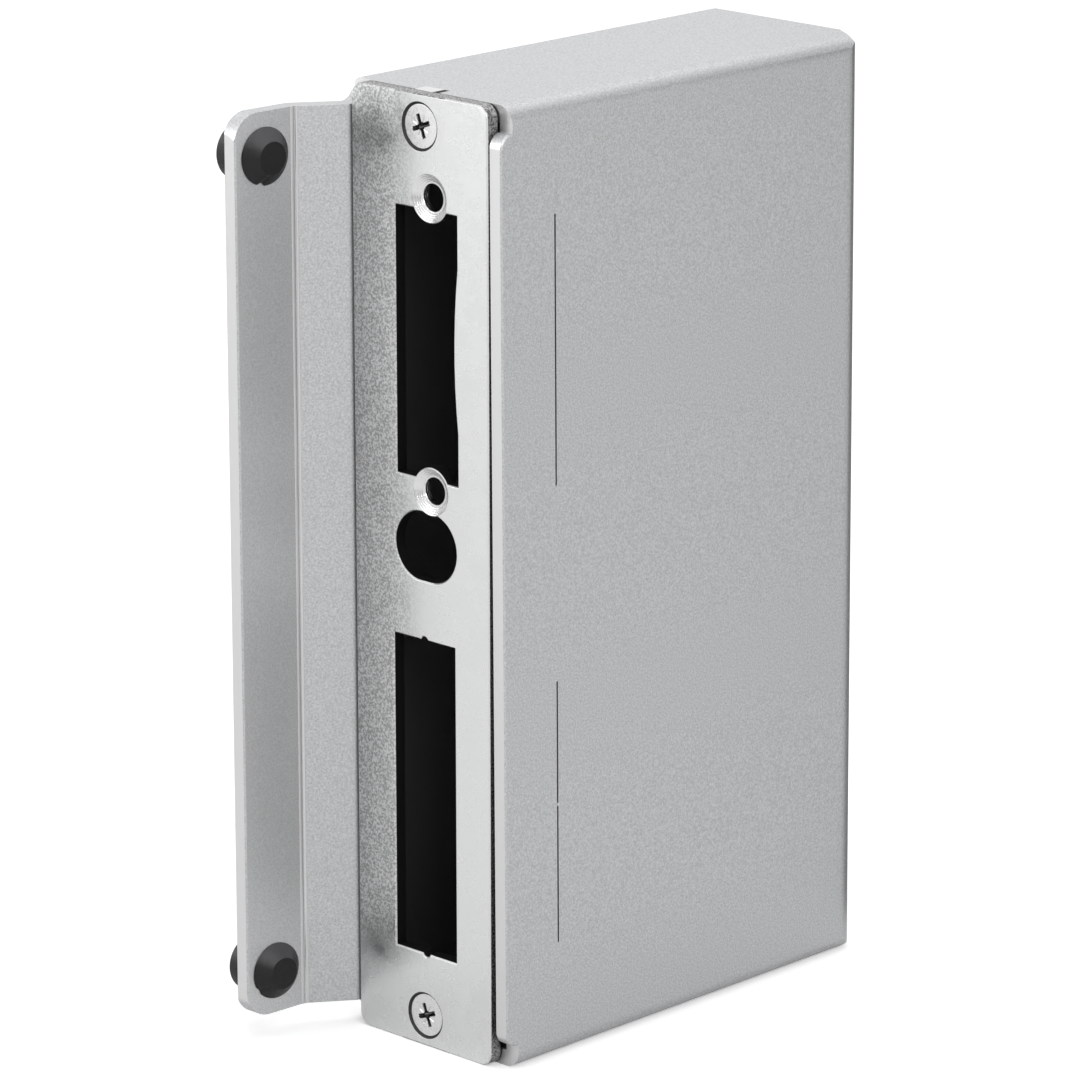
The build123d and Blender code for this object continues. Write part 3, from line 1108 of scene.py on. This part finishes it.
class STRIKEBOX_OT_buffers(bpy.types.Operator):
    """Puts soft-edged moulded buffers in place of the plain ones"""

    bl_idname = "strikebox.buffers"
    bl_label = "Buffers"

    def execute(self, context):
        sizes = context.scene.strikebox_sizes
        finish = moulded_rubber(context.scene.strikebox_colours)
        # Each buffer's flaw: where its rim is nicked and by what share of its radius, and how far its face sags
        flaws = {"top": (radians(257), 0.1, 0.0), "bottom": (radians(215), 0.05, 0.1 * MM)}
        for end, seat in BUFFER_SEATS.items():
            shape, faces = buffer_shape(sizes, *flaws[end])
            points = set_down(shape, seat, LAND_BACKWARDS, (0, 0, 1), LAND_NORMAL)
            piece = add_piece(f"rubber_buffer_{end}", points, faces, finish, crease=60)
            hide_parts(f"buffer_{end}")
        return {"FINISHED"}


def card_material(name, colour, glow):
    """Matt card that glows for the camera alone, so that its shadows stay."""
    material, tree = new_material(name)
    card = add_node(tree, "ShaderNodeBsdfDiffuse", {"Color": opaque(colour)})
    rays = add_node(tree, "ShaderNodeLightPath")
    strength = add_node(
        tree, "ShaderNodeMath", {0: (rays, "Is Camera Ray"), 1: glow}, operation="MULTIPLY"
    )
    white = add_node(tree, "ShaderNodeEmission", {"Color": (1, 1, 1, 1), "Strength": (strength, "Value")})
    both = add_node(tree, "ShaderNodeAddShader", {0: (card, "BSDF"), 1: (white, "Emission")})
    add_node(tree, "ShaderNodeOutputMaterial", {"Surface": (both, "Shader")})
    return material


def add_card(name, corners, material):
    """A flat card of the studio."""
    mesh = bpy.data.meshes.new(name)
    mesh.from_pydata(corners, [], [(0, 1, 2, 3)])
    mesh.materials.append(material)
    card = bpy.data.objects.new(name, mesh)
    bpy.context.scene.collection.objects.link(card)
    return card


def add_lamp(name, place, aim, size, power):
    """A square soft box at place, in metres, that faces aim."""
    data = bpy.data.lights.new(name, "AREA")
    data.shape = "SQUARE"
    data.size = size
    data.energy = power
    lamp = bpy.data.objects.new(name, data)
    bpy.context.scene.collection.objects.link(lamp)
    way = Vector(aim) - Vector(place)
    lamp.matrix_world = Matrix.Translation(place) @ way.to_track_quat("-Z", "Y").to_matrix().to_4x4()
    return lamp


# Soft boxes: name, place from the object's middle in metres, side in metres, power in watts
SOFT_BOXES = (
    ("top_box", (-0.1, 0.1, 1.2), 1.2, 6.0),
    ("left_box", (-0.9, -1.2, 0.5), 1.0, 8.0),
    ("right_box", (1.3, -0.7, 0.9), 0.8, 8.5),
    ("far_box", (1.0, 1.0, 0.35), 0.8, 0.85),
)
# Strength of the room's light on matt surfaces and in the metal, the floor's glow for the camera, and half its side
ROOM_ON_MATT = 0.57
ROOM_IN_METAL = 1.08
FLOOR_GLOW = 0.3
FLOOR_HALF = 3.0
# Black cards that only the metal sees: on the floor behind the object, standing close behind the case's rear bend,
# standing at the rear right, and standing to the left of the camera
BLACK_CARDS = {
    "rear_card": [(0.03, 0.06, 0.001), (0.24, 0.62, 0.001), (-0.58, 0.42, 0.001), (-0.10, 0.06, 0.001)],
    "bend_card": [(-0.13, 0.20, 0.001), (0.09, 0.20, 0.001), (0.09, 0.20, 0.24), (-0.13, 0.20, 0.20)],
    "back_card": [(0.25, 0.45, 0.26), (0.62, 0.45, 0.26), (0.62, 0.45, 0.60), (0.25, 0.45, 0.60)],
    "side_card": [(0.11, -0.59, 0), (0.29, -0.52, 0), (0.29, -0.52, 0.32), (0.11, -0.59, 0.32)],
}


class STRIKEBOX_OT_studio(bpy.types.Operator):
    """Builds the floor, the world, the lamps and the camera"""

    bl_idname = "strikebox.studio"
    bl_label = "Studio"

    def execute(self, context):
        scene = context.scene
        studio = scene.strikebox_studio
        scene.view_settings.view_transform = "Standard"
        middle = (Vector(CAD_BOX[0]) + Vector(CAD_BOX[1])) / 2

        white = card_material("white_card", to_linear("#f4f4f4"), FLOOR_GLOW)
        corners = [(x * FLOOR_HALF, y * FLOOR_HALF, 0) for x, y in ((-1, -1), (1, -1), (1, 1), (-1, 1))]
        add_card("floor", corners, white)
        black = card_material("black_card", to_linear("#202020"), 0.0)
        for name, corners in BLACK_CARDS.items():
            card = add_card(name, corners, black)
            card.visible_camera = False
            card.visible_diffuse = False
            card.visible_shadow = False

        world = bpy.data.worlds.new("studio")
        scene.world = world
        world.use_nodes = True
        tree = world.node_tree
        tree.nodes.clear()
        rays = add_node(tree, "ShaderNodeLightPath")
        in_metal = add_node(
            tree,
            "ShaderNodeMapRange",
            {"Value": (rays, "Is Glossy Ray"), "To Min": ROOM_ON_MATT, "To Max": ROOM_IN_METAL},
        )
        strength = add_node(
            tree,
            "ShaderNodeMath",
            {0: (in_metal, "Result"), 1: (rays, "Is Camera Ray")},
            operation="MAXIMUM",
        )
        sky = add_node(tree, "ShaderNodeBackground", {"Color": (1, 1, 1, 1), "Strength": (strength, "Value")})
        add_node(tree, "ShaderNodeOutputWorld", {"Surface": (sky, "Background")})

        for name, place, size, power in SOFT_BOXES:
            add_lamp(name, middle + Vector(place), middle, size, power)

        camera_data = bpy.data.cameras.new("camera")
        camera_data.sensor_width = 36.0
        camera_data.lens = studio.lens
        camera_data.clip_start = 0.05
        camera = bpy.data.objects.new("camera", camera_data)
        scene.collection.objects.link(camera)
        back = Vector(
            (
                sin(studio.azimuth) * cos(studio.elevation),
                -cos(studio.azimuth) * cos(studio.elevation),
                sin(studio.elevation),
            )
        )
        right = (-back).cross(Vector((0, 0, 1))).normalized()
        up = right.cross(-back)
        turned_right = cos(studio.roll) * right + sin(studio.roll) * up
        turned_up = cos(studio.roll) * up - sin(studio.roll) * right
        turn = Matrix((turned_right, turned_up, back)).transposed()
        camera.matrix_world = Matrix.Translation(studio.place) @ turn.to_4x4()
        scene.camera = camera
        return {"FINISHED"}


OPERATORS = (
    STRIKEBOX_OT_case,
    STRIKEBOX_OT_strike_plate,
    STRIKEBOX_OT_keeper_sinks,
    STRIKEBOX_OT_screws,
    STRIKEBOX_OT_buffers,
    STRIKEBOX_OT_studio,
)


class STRIKEBOX_PT_panel(bpy.types.Panel):
    """Lists the steps and their settings"""

    bl_idname = "STRIKEBOX_PT_panel"
    bl_label = "Strike Box"
    bl_space_type = "VIEW_3D"
    bl_region_type = "UI"
    bl_category = "Strike Box"

    def draw(self, context):
        for group in (
            context.scene.strikebox_sizes,
            context.scene.strikebox_colours,
            context.scene.strikebox_studio,
        ):
            for name in group.bl_rna.properties.keys():
                if name not in ("rna_type", "name"):
                    self.layout.prop(group, name)
        for operator in OPERATORS:
            self.layout.operator(operator.bl_idname)


CLASSES = (StrikeBoxSizes, StrikeBoxColours, StrikeBoxStudio, *OPERATORS, STRIKEBOX_PT_panel)


def register():
    for cls in CLASSES:
        bpy.utils.register_class(cls)
    bpy.types.Scene.strikebox_sizes = bpy.props.PointerProperty(type=StrikeBoxSizes)
    bpy.types.Scene.strikebox_colours = bpy.props.PointerProperty(type=StrikeBoxColours)
    bpy.types.Scene.strikebox_studio = bpy.props.PointerProperty(type=StrikeBoxStudio)


def unregister():
    del bpy.types.Scene.strikebox_studio
    del bpy.types.Scene.strikebox_colours
    del bpy.types.Scene.strikebox_sizes
    for cls in reversed(CLASSES):
        bpy.utils.unregister_class(cls)


def main():
    register()
    bpy.ops.strikebox.case()
    bpy.ops.strikebox.strike_plate()
    bpy.ops.strikebox.keeper_sinks()
    bpy.ops.strikebox.screws()
    bpy.ops.strikebox.buffers()
    bpy.ops.strikebox.studio()


if __name__ == "__main__":
    main()
